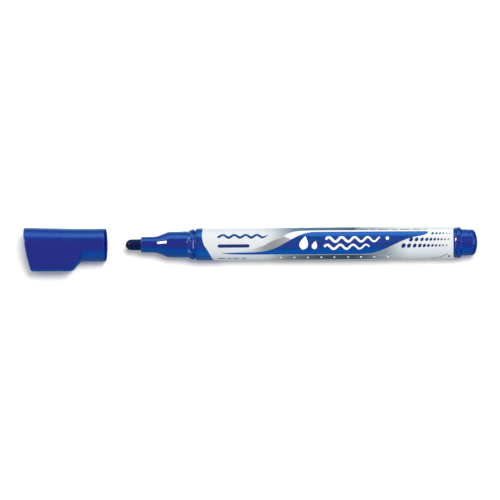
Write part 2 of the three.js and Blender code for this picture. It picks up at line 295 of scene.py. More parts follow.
# ------------------------------------------------------------------ node helpers
class Tree:
    def __init__(self, name):
        self.mat = bpy.data.materials.new(name)
        self.mat.use_nodes = True
        self.nt = self.mat.node_tree
        for n in list(self.nt.nodes):
            self.nt.nodes.remove(n)
        self.out = self.nt.nodes.new("ShaderNodeOutputMaterial")
        self.bsdf = self.nt.nodes.new("ShaderNodeBsdfPrincipled")
        self.nt.links.new(self.bsdf.outputs[0], self.out.inputs[0])
        self.co = self.nt.nodes.new("ShaderNodeTexCoord").outputs["Object"]

    def put(self, socket, value):
        if isinstance(value, bpy.types.NodeSocket):
            self.nt.links.new(value, socket)
        else:
            socket.default_value = value

    def set(self, **kw):
        for k, v in kw.items():
            name = k.replace("_", " ").title().replace("Ior", "IOR")
            self.put(self.bsdf.inputs[name], v)

    def math(self, op, a, b=0.0, c=0.0, clamp=False):
        n = self.nt.nodes.new("ShaderNodeMath")
        n.operation = op
        n.use_clamp = clamp
        for i, v in enumerate((a, b, c)):
            self.put(n.inputs[i], v)
        return n.outputs[0]

    def scale(self, vec, s):
        n = self.nt.nodes.new("ShaderNodeMapping")
        self.put(n.inputs["Vector"], vec)
        n.inputs["Scale"].default_value = s
        return n.outputs[0]

    def noise(self, vec, scale, detail=3.0, rough=0.55, dist=0.0):
        n = self.nt.nodes.new("ShaderNodeTexNoise")
        self.put(n.inputs["Vector"], vec)
        n.inputs["Scale"].default_value = scale
        n.inputs["Detail"].default_value = detail
        n.inputs["Roughness"].default_value = rough
        n.inputs["Distortion"].default_value = dist
        return n.outputs["Fac"]

    def ramp(self, x, a, b, lo=0.0, hi=1.0, smooth=True):
        n = self.nt.nodes.new("ShaderNodeMapRange")
        n.interpolation_type = "SMOOTHSTEP" if smooth else "LINEAR"
        n.clamp = True
        self.put(n.inputs["Value"], x)
        n.inputs["From Min"].default_value = a
        n.inputs["From Max"].default_value = b
        n.inputs["To Min"].default_value = lo
        n.inputs["To Max"].default_value = hi
        return n.outputs[0]

    def curve(self, x, pts):
        """A smooth curve y(x) through the given points, for any ranges."""
        xs, ys = [p[0] for p in pts], [p[1] for p in pts]
        x0, x1, y0, y1 = min(xs), max(xs), min(ys), max(ys)
        n = self.nt.nodes.new("ShaderNodeFloatCurve")
        c = n.mapping.curves[0]
        q = [((a - x0) / (x1 - x0), (b - y0) / (y1 - y0)) for a, b in sorted(pts)]
        c.points[0].location = q[0]
        c.points[-1].location = q[-1]
        for a, b in q[1:-1]:
            c.points.new(a, b)
        n.mapping.update()
        self.put(n.inputs["Value"], self.ramp(x, x0, x1, smooth=False))
        return self.math("ADD", self.math("MULTIPLY", n.outputs[0], y1 - y0), y0)

    def colours(self, x, stops):
        """Colour by x, from (x, (r, g, b)) stops."""
        x0, x1 = stops[0][0], stops[-1][0]
        n = self.nt.nodes.new("ShaderNodeValToRGB")
        e = n.color_ramp.elements
        n.color_ramp.interpolation = "LINEAR"
        e[0].position, e[1].position = 0.0, 1.0
        for a, c in stops[1:-1]:
            e.new((a - x0) / (x1 - x0))
        for el, (a, c) in zip(sorted(e, key=lambda v: v.position), stops):
            el.color = (*c, 1.0)
        self.put(n.inputs[0], self.ramp(x, x0, x1, smooth=False))
        return n.outputs[0]

    def times(self, a, b):
        n = self.nt.nodes.new("ShaderNodeMix")
        n.data_type = "RGBA"
        n.blend_type = "MULTIPLY"
        n.inputs[0].default_value = 1.0
        for s, v in ((n.inputs[6], a), (n.inputs[7], b)):
            if isinstance(v, bpy.types.NodeSocket):
                self.nt.links.new(v, s)
            else:
                s.default_value = (*v, 1.0)
        return n.outputs[2]

    def mix(self, fac, a, b):
        n = self.nt.nodes.new("ShaderNodeMix")
        n.data_type = "RGBA"
        self.put(n.inputs[0], fac)
        for s, v in ((n.inputs[6], a), (n.inputs[7], b)):
            if isinstance(v, bpy.types.NodeSocket):
                self.nt.links.new(v, s)
            else:
                s.default_value = (*v, 1.0) if len(v) == 3 else v
        return n.outputs[2]

    def bump(self, height, dist, strength=1.0, normal=None):
        n = self.nt.nodes.new("ShaderNodeBump")
        n.inputs["Distance"].default_value = dist
        n.inputs["Strength"].default_value = strength
        self.put(n.inputs["Height"], height)
        if normal is not None:
            self.nt.links.new(normal, n.inputs["Normal"])
        return n.outputs[0]

    def scratches(self, vec, scale, width=0.02, turn=0.0, stretch=26.0):
        """Thin, sparse hairlines: 1 on a line, 0 elsewhere."""
        n = self.nt.nodes.new("ShaderNodeMapping")
        self.put(n.inputs["Vector"], vec)
        n.inputs["Rotation"].default_value = (turn, turn * 0.7, turn * 1.3)
        n.inputs["Scale"].default_value = (1.0 / stretch, 1.0, 1.0)
        a = self.noise(n.outputs[0], scale, 1.0, 0.4, 0.1)
        line = self.ramp(self.math("ABSOLUTE", self.math("SUBTRACT", a, 0.5)), 0.0, width, 1.0, 0.0)
        gate = self.ramp(self.noise(vec, scale * 0.12, 2.0, 0.5), 0.56, 0.66)
        return self.math("MULTIPLY", line, gate)


def moulded_plastic(name, base, lift, rough, tint, spec=0.8, worn=0.5):
    """Injection-moulded polypropylene: faint flow clouding, a very fine orange peel, dull
    handling marks and a few hairline scratches."""
    t = Tree(name)
    cloud = t.noise(t.scale(t.co, (0.4, 1, 1)), 180, 3, 0.6, 0.4)
    grain = t.noise(t.co, 5200, 2, 0.5)
    peel = t.noise(t.co, 900, 3, 0.55)
    smudge = t.ramp(t.noise(t.co, 95, 4, 0.6, 0.8), 0.46, 0.72)
    hair = t.math("MAXIMUM", t.scratches(t.co, 900, 0.010, 0.25), t.scratches(t.co, 700, 0.009, -0.9))
    col = t.mix(t.ramp(cloud, 0.25, 0.75), base, lift)
    col = t.mix(t.math("MULTIPLY", hair, 0.18 * worn), col, tuple(min(1, 2.2 * c + 0.03) for c in lift))
    r = t.math("ADD", rough, t.math("MULTIPLY", smudge, 0.07))
    r = t.math("ADD", r, t.math("MULTIPLY", grain, 0.05))
    r = t.math("ADD", r, t.math("MULTIPLY", hair, 0.22 * worn))
    n = t.bump(peel, 0.0000028 * (0.35 + worn))
    n = t.bump(grain, 0.0000010, 1.0, n)
    n = t.bump(hair, 0.000004, -0.6 * worn, n)
    t.put(t.bsdf.inputs["Base Color"], col)
    t.put(t.bsdf.inputs["Roughness"], r)
    t.put(t.bsdf.inputs["Normal"], n)
    t.bsdf.inputs["IOR"].default_value = 1.5
    t.bsdf.inputs["Specular IOR Level"].default_value = spec
    t.bsdf.inputs["Specular Tint"].default_value = (*tint, 1.0)
    return t.mat


BLUE = (0.0012, 0.0058, 0.136)
BLUE_LIFT = (0.0018, 0.0070, 0.152)
WHITE = (1.0, 1.0, 1.0)
blue_plastic = moulded_plastic("blue_moulded_plastic", BLUE, BLUE_LIFT, 0.15, WHITE, 0.36)
nose_plastic = moulded_plastic("polished_moulded_plastic", BLUE, BLUE_LIFT, 0.09, WHITE, 0.38, worn=0.3)
cap_plastic = moulded_plastic("cap_moulded_plastic", BLUE, BLUE_LIFT, 0.16, WHITE, 0.36, worn=0.8)
natural_plastic = moulded_plastic("natural_moulded_plastic", (0.62, 0.64, 0.62), (0.70, 0.71, 0.69), 0.38, WHITE, 0.5)


def felt(name, base, lift, rough):
    """Bonded fibres that run along the pen."""
    t = Tree(name)
    along = t.scale(t.co, (0.16, 1, 1))
    fibre = t.noise(along, 6500, 3, 0.6, 0.3)
    tuft = t.noise(t.scale(t.co, (0.6, 1, 1)), 1900, 3, 0.6, 0.5)
    wet = t.ramp(t.noise(t.co, 420, 3, 0.5), 0.35, 0.7)
    col = t.mix(t.ramp(fibre, 0.35, 0.7), base, lift)
    col = t.mix(t.math("MULTIPLY", wet, 0.35), col, tuple(0.6 * c for c in base))
    t.put(t.bsdf.inputs["Base Color"], col)
    t.put(t.bsdf.inputs["Roughness"], t.math("ADD", rough, t.math("MULTIPLY", wet, -0.18)))
    n = t.bump(fibre, 0.000035)
    t.put(t.bsdf.inputs["Normal"], t.bump(tuft, 0.00004, 0.8, n))
    t.bsdf.inputs["Specular IOR Level"].default_value = 0.09
    return t.mat


inked_felt = felt("inked_felt", (0.0010, 0.0020, 0.018), (0.0026, 0.0042, 0.034), 0.42)
white_fibre = felt("wick_fibre", (0.62, 0.61, 0.56), (0.74, 0.73, 0.69), 0.8)


def film(name):
    """Printed film: pearly white, with grey tone printed in soft fades over and under the
    blue band, and the slight waviness of a film wrapped round a tube."""
    t = Tree(name)
    sep = t.nt.nodes.new("ShaderNodeSeparateXYZ")
    t.put(sep.inputs[0], t.co)
    x = t.math("MULTIPLY", sep.outputs[0], 1000.0)
    x = t.math("ADD", t.math("ADD", x, -0.5), t.math("ADD", t.math("MULTIPLY", x, 0.0045), t.math("MULTIPLY", t.math("MULTIPLY", x, x), 0.00007)))
    yy = t.math("SUBTRACT", sep.outputs[1], AY * MM)
    zz = t.math("SUBTRACT", sep.outputs[2], AZ * MM)
    a = t.math("ADD", t.math("MULTIPLY", t.math("ARCTAN2", yy, zz), 180.0 / math.pi), 10.0)
    grain = t.noise(t.co, 2600, 2, 0.5)
    cloud = t.noise(t.scale(t.co, (0.25, 1, 1)), 220, 3, 0.6)
    g = lambda v, k=(1, 1, 1): (v * k[0], v * k[1], v * k[2])
    film_tone_and_painted_top_light = t.mix(t.ramp(cloud, 0.3, 0.7), (0.495, 0.512, 0.522), (0.515, 0.530, 0.538))
    above = lambda lim, w: t.ramp(t.math("SUBTRACT", a, lim), -w, w)
    mul = lambda *v: v[0] if len(v) == 1 else t.math("MULTIPLY", v[0], mul(*v[1:]))
    inv = lambda v: t.math("SUBTRACT", 1.0, v)
    # grey that deepens towards the blue band, and the crisp swoosh under it
    soft = t.colours(x, [(0.0, g(1)), (4.5, g(0.985)), (7.6, g(0.86)), (9.8, g(0.72)), (12.1, g(0.63)), (14.4, g(0.56)), (18.0, g(0.5)), (46.0, g(0.55)), (56.0, g(1.0))])
    swoosh = t.colours(x, [(-4.5, g(1)), (0.0, g(0.84)), (3.0, g(0.62)), (5.3, g(0.43)), (7.6, g(0.37)), (9.8, g(0.36)),
                           (12.1, g(0.42)), (14.4, g(0.50)), (18.0, g(0.55))])
    rim = t.curve(x, [(-4.5, -25.5), (-1.5, -23.0), (0.8, -19.5), (3.0, -13.0), (5.3, -5.8), (7.6, 6.2), (9.8, 14.8),
                      (12.2, 23.0), (15.0, 30.0), (18.0, 36.0)])
    side = t.ramp(a, 97.0, 118.0, 1.0, 0.0)
    # painted highlight: the film's own cloudy tone is painted up to 16% lighter and warmer round the upper side of the
    # tube, by the angle round it
    film_tone_and_painted_top_light = t.times(film_tone_and_painted_top_light, t.mix(mul(t.ramp(a, 58.0, 80.0), t.ramp(a, 110.0, 150.0, 1.0, 0.0)), (1, 1, 1), (1.16, 1.12, 1.09)))
    col = t.times(film_tone_and_painted_top_light, t.mix(side, (1, 1, 1), soft))
    in_swoosh = mul(inv(above(rim, 1.1)), t.ramp(a, -31.5, -29.5))
    col = t.mix(in_swoosh, col, t.times(film_tone_and_painted_top_light, swoosh))
    # the white streak between that grey and the blue band, a gap in the print painted brighter than the film as a
    # painted highlight, and the dark metallic strip above it
    low_edge = t.curve(x, [(12.0, 30.5), (12.9, 26.8), (14.4, 20.5), (17.0, 10.0), (20.0, 0.0), (24.0, -20.0)])
    top_edge = t.curve(x, [(12.0, 27.0), (12.9, 30.0), (14.4, 38.9), (16.6, 47.6), (18.9, 51.9), (22.5, 53.8), (40.0, 54.2), (60.0, 54.4)])
    white_gap_painted_highlight = mul(above(low_edge, 1.2), inv(above(top_edge, 1.2)), t.ramp(x, 12.2, 13.6))
    col = t.mix(white_gap_painted_highlight, col, (0.60, 0.61, 0.61))
    strip = t.colours(x, [(8.0, (0.42, 0.44, 0.46)), (9.8, (0.33, 0.35, 0.37)), (12.1, (0.26, 0.29, 0.32)), (14.4, (0.18, 0.21, 0.245)),
                          (16.6, (0.105, 0.135, 0.17)), (18.9, (0.075, 0.105, 0.135)), (22.7, (0.034, 0.082, 0.122)),
                          (30.0, (0.040, 0.070, 0.105)), (35.5, (0.030, 0.042, 0.062)), (39.4, (0.016, 0.019, 0.030)),
                          (40.3, (0.15, 0.16, 0.165)), (44.0, (0.26, 0.28, 0.29)), (50.0, (0.36, 0.37, 0.39)), (58.0, (0.50, 0.51, 0.52))])
    on_top = mul(above(top_edge, 1.3), t.ramp(x, 8.0, 13.0), t.ramp(x, 52.0, 58.0, 1.0, 0.0), t.ramp(a, 97.0, 100.0, 1.0, 0.0))
    col = t.mix(on_top, col, strip)
    # the dark strip under the band, and the cool grey behind the band's tail
    under = t.colours(x, [(4.0, g(0.47)), (7.6, g(0.42)), (9.8, g(0.31)), (12.1, g(0.20)), (16.6, g(0.115)), (20.0, g(0.075)),
                          (26.5, (0.033, 0.031, 0.042)), (38.0, (0.024, 0.024, 0.034)), (43.6, (0.062, 0.066, 0.082)),
                          (46.5, (0.13, 0.14, 0.16)), (48.8, (0.21, 0.22, 0.235)), (52.0, (0.29, 0.30, 0.32)), (58.0, g(0.47))])
    low = mul(t.ramp(a, -47.3, -45.2, 1.0, 0.0), t.ramp(x, 4.0, 7.6), t.ramp(x, 54.0, 58.0, 1.0, 0.0), t.ramp(a, -112.0, -88.0))
    tail = t.colours(x, [(46.0, g(0.34, (0.94, 1.03, 1.06))), (51.5, g(0.40, (0.94, 1.03, 1.06))), (53.8, g(0.60, (0.95, 1.02, 1.05))),
                         (56.0, g(0.77, (0.96, 1.01, 1.04))), (58.3, g(0.93)), (60.6, g(1.0))])
    in_tail = mul(t.ramp(x, 43.0, 47.0), t.ramp(a, -88.0, -70.0), t.ramp(a, 20.0, 40.0, 1.0, 0.0))
    col = t.mix(in_tail, col, t.times(film_tone_and_painted_top_light, tail))
    col = t.mix(low, col, under)
    t.put(t.bsdf.inputs["Base Color"], col)
    smudge = t.ramp(t.noise(t.co, 70, 4, 0.6, 0.6), 0.45, 0.75)
    hair = t.scratches(t.co, 800, 0.008, 0.4)
    r = t.math("ADD", t.math("ADD", 0.24, t.math("MULTIPLY", smudge, 0.07)), t.math("MULTIPLY", grain, 0.05))
    t.put(t.bsdf.inputs["Roughness"], t.math("ADD", r, t.math("MULTIPLY", hair, 0.2)))
    wave = t.noise(t.scale(t.co, (0.35, 1, 1)), 320, 2, 0.5)
    n = t.bump(wave, 0.000012)
    n = t.bump(grain, 0.0000012, 1.0, n)
    t.put(t.bsdf.inputs["Normal"], t.bump(hair, 0.000002, -0.6, n))
    t.bsdf.inputs["Specular IOR Level"].default_value = 0.28
    t.bsdf.inputs["Specular Tint"].default_value = (1.0, 0.62, 0.42, 1.0)
    return t.mat


label_film = film("label_film")


def ink(name, base, rough=0.22, tint=(1, 1, 1), spec=0.5):
    """Printing ink under a clear varnish, with the fine unevenness of a solid print."""
    t = Tree(name)
    speck = t.noise(t.co, 3800, 3, 0.6)
    cloud = t.noise(t.scale(t.co, (0.3, 1, 1)), 260, 3, 0.6)
    lift = tuple(min(1.0, 1.14 * c + 0.002) for c in base)
    col = t.mix(t.ramp(cloud, 0.3, 0.7), base, lift)
    col = t.mix(t.math("MULTIPLY", t.ramp(speck, 0.62, 0.75), 0.12), col, (0.6, 0.62, 0.66))
    t.put(t.bsdf.inputs["Base Color"], col)
    smudge = t.ramp(t.noise(t.co, 70, 4, 0.6, 0.6), 0.45, 0.75)
    t.put(t.bsdf.inputs["Roughness"], t.math("ADD", t.math("ADD", rough, t.math("MULTIPLY", smudge, 0.06)), t.math("MULTIPLY", speck, 0.04)))
    wave = t.noise(t.scale(t.co, (0.35, 1, 1)), 320, 2, 0.5)
    n = t.bump(wave, 0.000012)
    t.put(t.bsdf.inputs["Normal"], t.bump(speck, 0.0000012, 1.0, n))
    t.bsdf.inputs["Specular IOR Level"].default_value = spec
    t.bsdf.inputs["Specular Tint"].default_value = (*tint, 1.0)
    return t.mat


ink_blue = ink("ink_blue", (0.0006, 0.0145, 0.143), 0.14, (0.5, 0.85, 1.0), 0.5)
ink_navy = ink("ink_navy", (0.0035, 0.014, 0.085), 0.24, (0.5, 0.85, 1.0), 0.3)
ink_white = ink("ink_white", (0.66, 0.68, 0.71), 0.28, WHITE, 0.3)
ink_grey = ink("ink_grey", (0.055, 0.062, 0.075), 0.30, WHITE, 0.3)


def finish_piece(ob, body, mat, slot, *nodes):
    ob.data.materials.append(mat)
    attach(ob, body)
    if nodes:
        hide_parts(*nodes)
    return ob


# ------------------------------------------------------------------ pen: moulded pieces
barrel = lathe("barrel_tube", [
    (-20.32, 5.12, 0.06), (-20.32, 5.97, 0.34), (76.80, 5.975, 0.06), (76.86, 5.42, 0.05),
    (77.36, 5.42, 0.05), (77.38, 5.62, 0.02), (77.84, 5.865, 0.03), (77.92, 5.865, 0.03), (77.93, 5.12, 0.06)])
finish_piece(barrel, "pen", blue_plastic, "blue_plastic", "barrel")

nose = lathe("nose_cone", [
    (-41.19, 2.13, 0.05), (-41.19, 2.95, 0.6), (-38.4, 2.985, 4), (-36.5, 3.03, 3),
    (-35.0, 3.19, 2.2), (-34.2, 3.5, 2.0), (-31.15, 4.70, 0.9), (-30.4, 4.84, 1.2),
    (-28.2, 4.86, 0.1), (-28.12, 4.885, 0.06), (-27.98, 4.885, 0.06), (-27.9, 4.862, 0.1),
    (-25.3, 4.89, 0.15), (-24.95, 4.96, 0.15), (-24.4, 4.96, 0.15), (-24.1, 4.90, 0.15),
    (-23.3, 4.89, 0.4), (-22.2, 5.60, 0.10), (-22.0, 5.745, 0.10), (-21.20, 5.745, 0.03),
    (-20.72, 5.47, 0.03), (-20.72, 5.24, 0.05), (-20.40, 5.24, 0.06), (-20.40, 4.98, 0.05), (-8.0, 4.98, 0.15),
    (-8.0, 4.4, 0.1), (-29.7, 4.4, 0.1), (-30.4, 3.9, 0.2), (-33.6, 2.25, 0.2), (-40.9, 2.25, 0.1)])
finish_piece(nose, "pen", nose_plastic, "blue_plastic", "nose_section")

plug = lathe("end_plug_tail", [
    (83.6, 0, 0), (83.6, 3.3, 0.3), (82.4, 3.7, 0.3), (70.0, 3.9, 0.1), (70.0, 4.6, 0.1),
    (70.6, 4.86, 0.2), (72.0, 4.86, 0.1), (72.4, 5.03, 0.1), (72.8, 5.03, 0.1), (73.2, 4.86, 0.1),
    (75.0, 4.86, 0.1), (75.4, 5.03, 0.1), (75.8, 5.03, 0.1), (76.2, 4.86, 0.1), (78.02, 4.86, 0.04),
    (78.02, 5.77, 0.16), (79.46, 5.77, 0.16), (79.72, 5.03, 0.36), (82.36, 4.955, 0.05),
    (82.44, 4.79, 0.05), (82.74, 4.79, 0.05), (82.82, 4.93, 0.05), (84.1, 4.88, 0.75),
    (85.05, 3.95, 0.7), (85.62, 2.2, 2.0), (85.86, 0, 0)], closed=False)
finish_piece(plug, "pen", blue_plastic, "blue_plastic", "end_plug")

# nib: a fibre rod, a little uneven
nib = lathe("nib_felt", [
    (-47.08, 0, 0), (-47.04, 0.55, 0.5), (-46.72, 1.18, 1.0), (-46.1, 1.76, 1.2), (-45.35, 2.03, 1.2),
    (-44.6, 2.085, 1.2), (-43.0, 2.085, 1), (-41.5, 2.085, 1), (-25.1, 2.085, 0.1), (-24.8, 1.8, 0.1), (-24.8, 0, 0)],
    closed=False, seg=96, step=5)
finish_piece(nib, "pen", inked_felt, "inked_felt", "nib")

# ------------------------------------------------------------------ label
LABEL_R = 6.06
label = lathe("label_wrap", [
    (-19.30, 5.99, 0.01), (-19.30, LABEL_R, 0.02), (76.78, LABEL_R, 0.03), (76.78, 5.99, 0.01)], seg=180)
finish_piece(label, "pen", label_film, "label_film", "label_sleeve")


def wrap(x, phi, r):
    """x in mm and phi in degrees, 0 facing the viewer and positive towards +Y."""
    a = math.radians(phi - 10.0)
    x += (0.5 - 0.0045 * x - 0.00007 * x * x) * (0.4 + 0.6 * abs(math.cos(math.radians(phi)))) * min(1.0, max(0.0, (x + 19.35) / 1.1))
    return (x, AY + r * math.sin(a), AZ + r * math.cos(a)), (0.0, math.sin(a), math.cos(a))


def print_shell(name, grid, mat, r1=6.072, r0=6.052, ring=False, body="pen", islands=None):
    """A thin closed layer over the label from grids of (x, phi): grid[i][j], i along x."""
    verts, norms, faces = [], [], []
    for g in (islands or [grid]):
        ni, nj = len(g), len(g[0])
        base = len(verts)
        for r, s in ((r1, 1.0), (r0, -1.0)):
            for row in g:
                for x, p in row:
                    v, n = wrap(x, p, r)
                    verts.append(v)
                    norms.append((s * n[0], s * n[1], s * n[2]))
        top = lambda i, j: base + i * nj + (j % nj)
        low = lambda i, j: base + ni * nj + i * nj + (j % nj)
        for i in range(ni - 1):
            for j in range(nj if ring else nj - 1):
                faces.append((top(i, j), top(i + 1, j), top(i + 1, j + 1), top(i, j + 1)))
                faces.append((low(i, j + 1), low(i + 1, j + 1), low(i + 1, j), low(i, j)))
        for j in range(nj if ring else nj - 1):
            faces.append((top(0, j), top(0, j + 1), low(0, j + 1), low(0, j)))
            faces.append((low(ni - 1, j), low(ni - 1, j + 1), top(ni - 1, j + 1), top(ni - 1, j)))
        if not ring:
            for i in range(ni - 1):
                faces.append((low(i, 0), low(i + 1, 0), top(i + 1, 0), top(i, 0)))
                faces.append((top(i, nj - 1), top(i + 1, nj - 1), low(i + 1, nj - 1), low(i, nj - 1)))
    ob = make(name, verts, faces, norms)
    return finish_piece(ob, body, mat, "label_film")


def spline(pts, x):
    """Smooth curve through (x, y) points, monotone between them."""
    X = np.array([p[0] for p in pts], float)
    Y = np.array([p[1] for p in pts], float)
    h = np.diff(X)
    d = np.diff(Y) / h
    m = np.zeros(len(X))
    m[0], m[-1] = d[0], d[-1]
    for i in range(1, len(X) - 1):
        m[i] = 0 if d[i - 1] * d[i] <= 0 else 2 * d[i - 1] * d[i] / (d[i - 1] + d[i])
    x = np.clip(x, X[0], X[-1])
    i = np.clip(np.searchsorted(X, x) - 1, 0, len(h) - 1)
    t = (x - X[i]) / h[i]
    return ((2 * t**3 - 3 * t**2 + 1) * Y[i] + (t**3 - 2 * t**2 + t) * h[i] * m[i]
            + (-2 * t**3 + 3 * t**2) * Y[i + 1] + (t**3 - t**2) * h[i] * m[i + 1])


# the blue zone at the label's front, with a swept edge
FRONT_EDGE = [(-180, -11.2), (-130, -11.3), (-76, -13.9), (-42.6, -15.1), (-21.3, -16.2), (-5, -17.3),
              (14.8, -18.0), (32, -18.22), (49, -18.12), (83, -17.85), (120, -16.6), (150, -13.6), (180, -11.2)]
rows = [-180 + 360 * k / 180 for k in range(180)]
edge = spline(FRONT_EDGE, np.array(rows))
print_shell("print_front_zone", [[(-19.33 + (e + 19.33) * q / 8, p) for p, e in zip(rows, edge)] for q in range(9)],
            ink_blue, ring=True)

# the long blue band
UPPER = [(-10.6, -33.6), (-3.8, -32.3), (0.7, -31.6), (3.8, -29.6), (5.7, -27.0), (9.45, -16.2), (12.3, -2.5),
         (15.1, 12.4), (17.4, 24.6), (19.7, 35.4), (21.6, 41.6), (23.5, 44.8), (27, 45.7), (45.4, 45.6), (56.8, 45.4),
         (66.2, 45.1), (67.2, 43.5), (67.5, 40.5)]
LOWER = [(-10.6, -35.4), (-5.7, -40.2), (0, -41.6), (3.8, -41.8), (18.9, -42.4), (34.1, -42.9), (40.5, -42.8),
         (43.2, -41.9), (45.4, -39.6), (48.5, -31.0), (51.1, -20.8), (53.8, -8.9), (56.8, 3.6), (59.1, 12.6), (61.3, 19.4),
         (63.6, 23.8), (65.6, 28.0), (67.0, 34.5), (67.5, 39.5)]
xs = np.concatenate([np.linspace(-10.6, 66.0, 220), np.linspace(66.1, 67.5, 14)])
up, lo = spline(UPPER, xs), spline(LOWER, xs)
print_shell("print_band", [[(float(x), float(l + (u - l) * q / 26)) for q in range(27)] for x, u, l in zip(xs, up, lo)],
            ink_blue)

# halftone: slanted dots that shrink towards the rear
def dots(name, items, mat, n=24, slant=0.28, r1=6.074, rings=4):
    verts, norms, faces = [], [], []
    for x, p, dx, dy in items:
        base = len(verts)
        pts = [(x, p)]
        for q in range(1, rings + 1):
            for k in range(n):
                t = 2 * math.pi * k / n
                sy = 0.5 * dy * math.sin(t) * q / rings
                pts.append((x + 0.5 * dx * math.cos(t) * q / rings + slant * sy, p + math.degrees(sy / 6.07)))
        m = len(pts)
        for r, s in ((r1, 1), (6.050, -1)):
            for q in pts:
                v, w = wrap(*q, r)
                verts.append(v)
                norms.append((0, s * w[1], s * w[2]))
        for k in range(n):
            k2 = (k + 1) % n
            faces.append((base, base + 1 + k, base + 1 + k2))
            faces.append((base + m, base + m + 1 + k2, base + m + 1 + k))
            for q in range(rings - 1):
                a, b = base + 1 + q * n, base + 1 + (q + 1) * n
                faces.append((a + k, b + k, b + k2, a + k2))
                faces.append((m + a + k, m + a + k2, m + b + k2, m + b + k))
            a = base + 1 + (rings - 1) * n
            faces.append((a + k, m + a + k, m + a + k2, a + k2))
    return finish_piece(make(name, verts, faces, norms), "pen", mat, "label_film")


def row(xs_, phi, d0, d1):
    n = len(xs_)
    return [(x, phi, d0 + (d1 - d0) * i / (n - 1), 1.12 * (d0 + (d1 - d0) * i / (n - 1))) for i, x in enumerate(xs_)]


dots("print_halftone",
     row([69.15, 70.62, 71.95, 73.2, 74.5, 75.7], 35.0, 1.05, 0.5)
     + row([61.0, 63.09, 65.13, 66.95, 68.5, 69.94, 71.27, 72.56, 73.84, 75.13], 11.7, 1.5, 0.55)
     + row([58.12, 60.21, 62.33, 64.3, 66.0, 67.56, 69.07, 70.44, 71.8, 73.09, 74.41], -10.2, 1.62, 0.55), ink_navy)


def stroke(name, pts, width, mat, taper=(0, 0), cols=5, closed=False, r1=6.072, islands=None):
    """A drawn line of (x, s) points in mm, s round the tube, with round or tapered ends."""
    grids = []
    for line in (islands or [pts]):
        P = np.array(line, float)
        seg = np.linalg.norm(np.diff(P, axis=0), axis=1)
        L = np.concatenate([[0], np.cumsum(seg)])
        w0 = width / 2
        n = max(24, int(L[-1] / 0.12))
        base = np.linspace(0, L[-1], n)
        ends = w0 * (1 - np.cos(np.linspace(0, math.pi / 2, 7)))
        ts = np.unique(np.concatenate([base, ends, L[-1] - ends])) if not closed else base
        C = np.stack([np.interp(ts, L, P[:, k]) for k in (0, 1)], 1)
        T = np.gradient(C, ts, axis=0)
        if closed:
            T[0] = T[-1] = (C[1] - C[-2])
        T /= np.maximum(np.linalg.norm(T, axis=1, keepdims=True), 1e-9)
        N = np.stack([-T[:, 1], T[:, 0]], 1)
        w = np.full(len(ts), w0)
        if not closed:
            for d, tp in ((ts, taper[0]), (L[-1] - ts, taper[1])):
                cap_ = np.sqrt(np.clip(1 - (1 - np.clip(d / w0, 0, 1)) ** 2, 0, 1)) * w0
                w = np.minimum(w, np.maximum(cap_, 0.012))
                if tp:
                    w = np.minimum(w, w0 * (0.12 + 0.88 * np.clip(d / tp, 0, 1) ** 0.8))
        g = []
        for c, nn, ww in zip(C, N, w):
            g.append([(float(c[0] + nn[0] * ww * q), math.degrees(float(c[1] + nn[1] * ww * q) / 6.07))
                      for q in np.linspace(-1, 1, cols)])
        grids.append(g)
    return print_shell(name, None, mat, r1=r1, islands=grids)


def fair(pts, n=160):
    """Catmull-Rom through the points."""
    P = np.array([pts[0]] + list(pts) + [pts[-1]], float)
    out = []
    for i in range(1, len(P) - 2):
        for t in np.linspace(0, 1, max(4, n // (len(pts) - 1)), endpoint=False):
            a, b, c, d = P[i - 1:i + 3]
            out.append(0.5 * (2 * b + (c - a) * t + (2 * a - 5 * b + 4 * c - d) * t * t + (3 * b - a - 3 * c + d) * t ** 3))
    out.append(P[-2])
    return [tuple(map(float, p)) for p in out]


# in place of lettering: drawn line samples, ink drops and water lines
stroke("print_sample_wave", fair([(-12.3 + 2.13 * k, 3.05 + (0.55 if k % 2 else -0.55)) for k in range(10)], 260), 0.98, ink_navy,
       taper=(0, 3))
stroke("print_sample_line", [(-12.3, -0.75), (-4.0, -0.75), (-0.2, -0.75)], 1.25, ink_navy, taper=(0, 0))
stroke("print_fine_line", None, 0.62, ink_grey, islands=[[(x0, -6.62), (x0 + w, -6.62)] for x0, w in
                                                         ((-12.4, 2.9), (-8.7, 1.5), (-6.5, 2.3), (-3.4, 1.9))])
stroke("print_rear_line", fair([(67.8, -7.75), (69.7, -7.2), (72.0, -6.75), (73.4, -5.6), (74.8, -4.7)]), 0.34, ink_grey)
stroke("print_top_line", None, 0.46, ink_grey, islands=[[(x0, 5.97), (x0 + w, 5.97)] for x0, w in
                                                        ((41.3, 3.4), (45.5, 1.9), (48.3, 4.2), (53.4, 2.4), (56.7, 4.0), (61.6, 3.2), (65.6, 1.4))])


def brush(name, pts, wid, mat, cols=5):
    P, W = np.array(pts), np.array(wid) / 2
    T = np.gradient(P, axis=0)
    T /= np.linalg.norm(T, axis=1, keepdims=True)
    N = np.stack([-T[:, 1], T[:, 0]], 1)
    L = np.concatenate([[0], np.cumsum(np.linalg.norm(np.diff(P, axis=0), axis=1))])
    for d in (L, L[-1] - L):
        W = np.minimum(W, np.maximum(np.sqrt(np.clip(1 - (1 - np.clip(d / W, 0, 1)) ** 2, 0, 1)) * W, 0.012))
    return print_shell(name, None, mat, islands=[[[(float(c[0] + n[0] * w * q), math.degrees(float(c[1] + n[1] * w * q) / 6.07))
                                                   for q in np.linspace(-1, 1, cols)] for c, n, w in zip(P, N, W)]])




def ink_drop(name, x, y, r, length, lean):
    """A solid falling drop."""
    t = np.linspace(0, 1, 60)
    w = np.where(t < 0.34, np.sqrt(np.clip(1 - (1 - t / 0.34) ** 2, 0, 1)), np.cos(np.clip((t - 0.34) / 0.66, 0, 1) * math.pi / 2) ** 1.15)
    brush(name, [(x + lean * q, y + length * q) for q in t], 2 * r * w + 0.02, ink_white, cols=13)


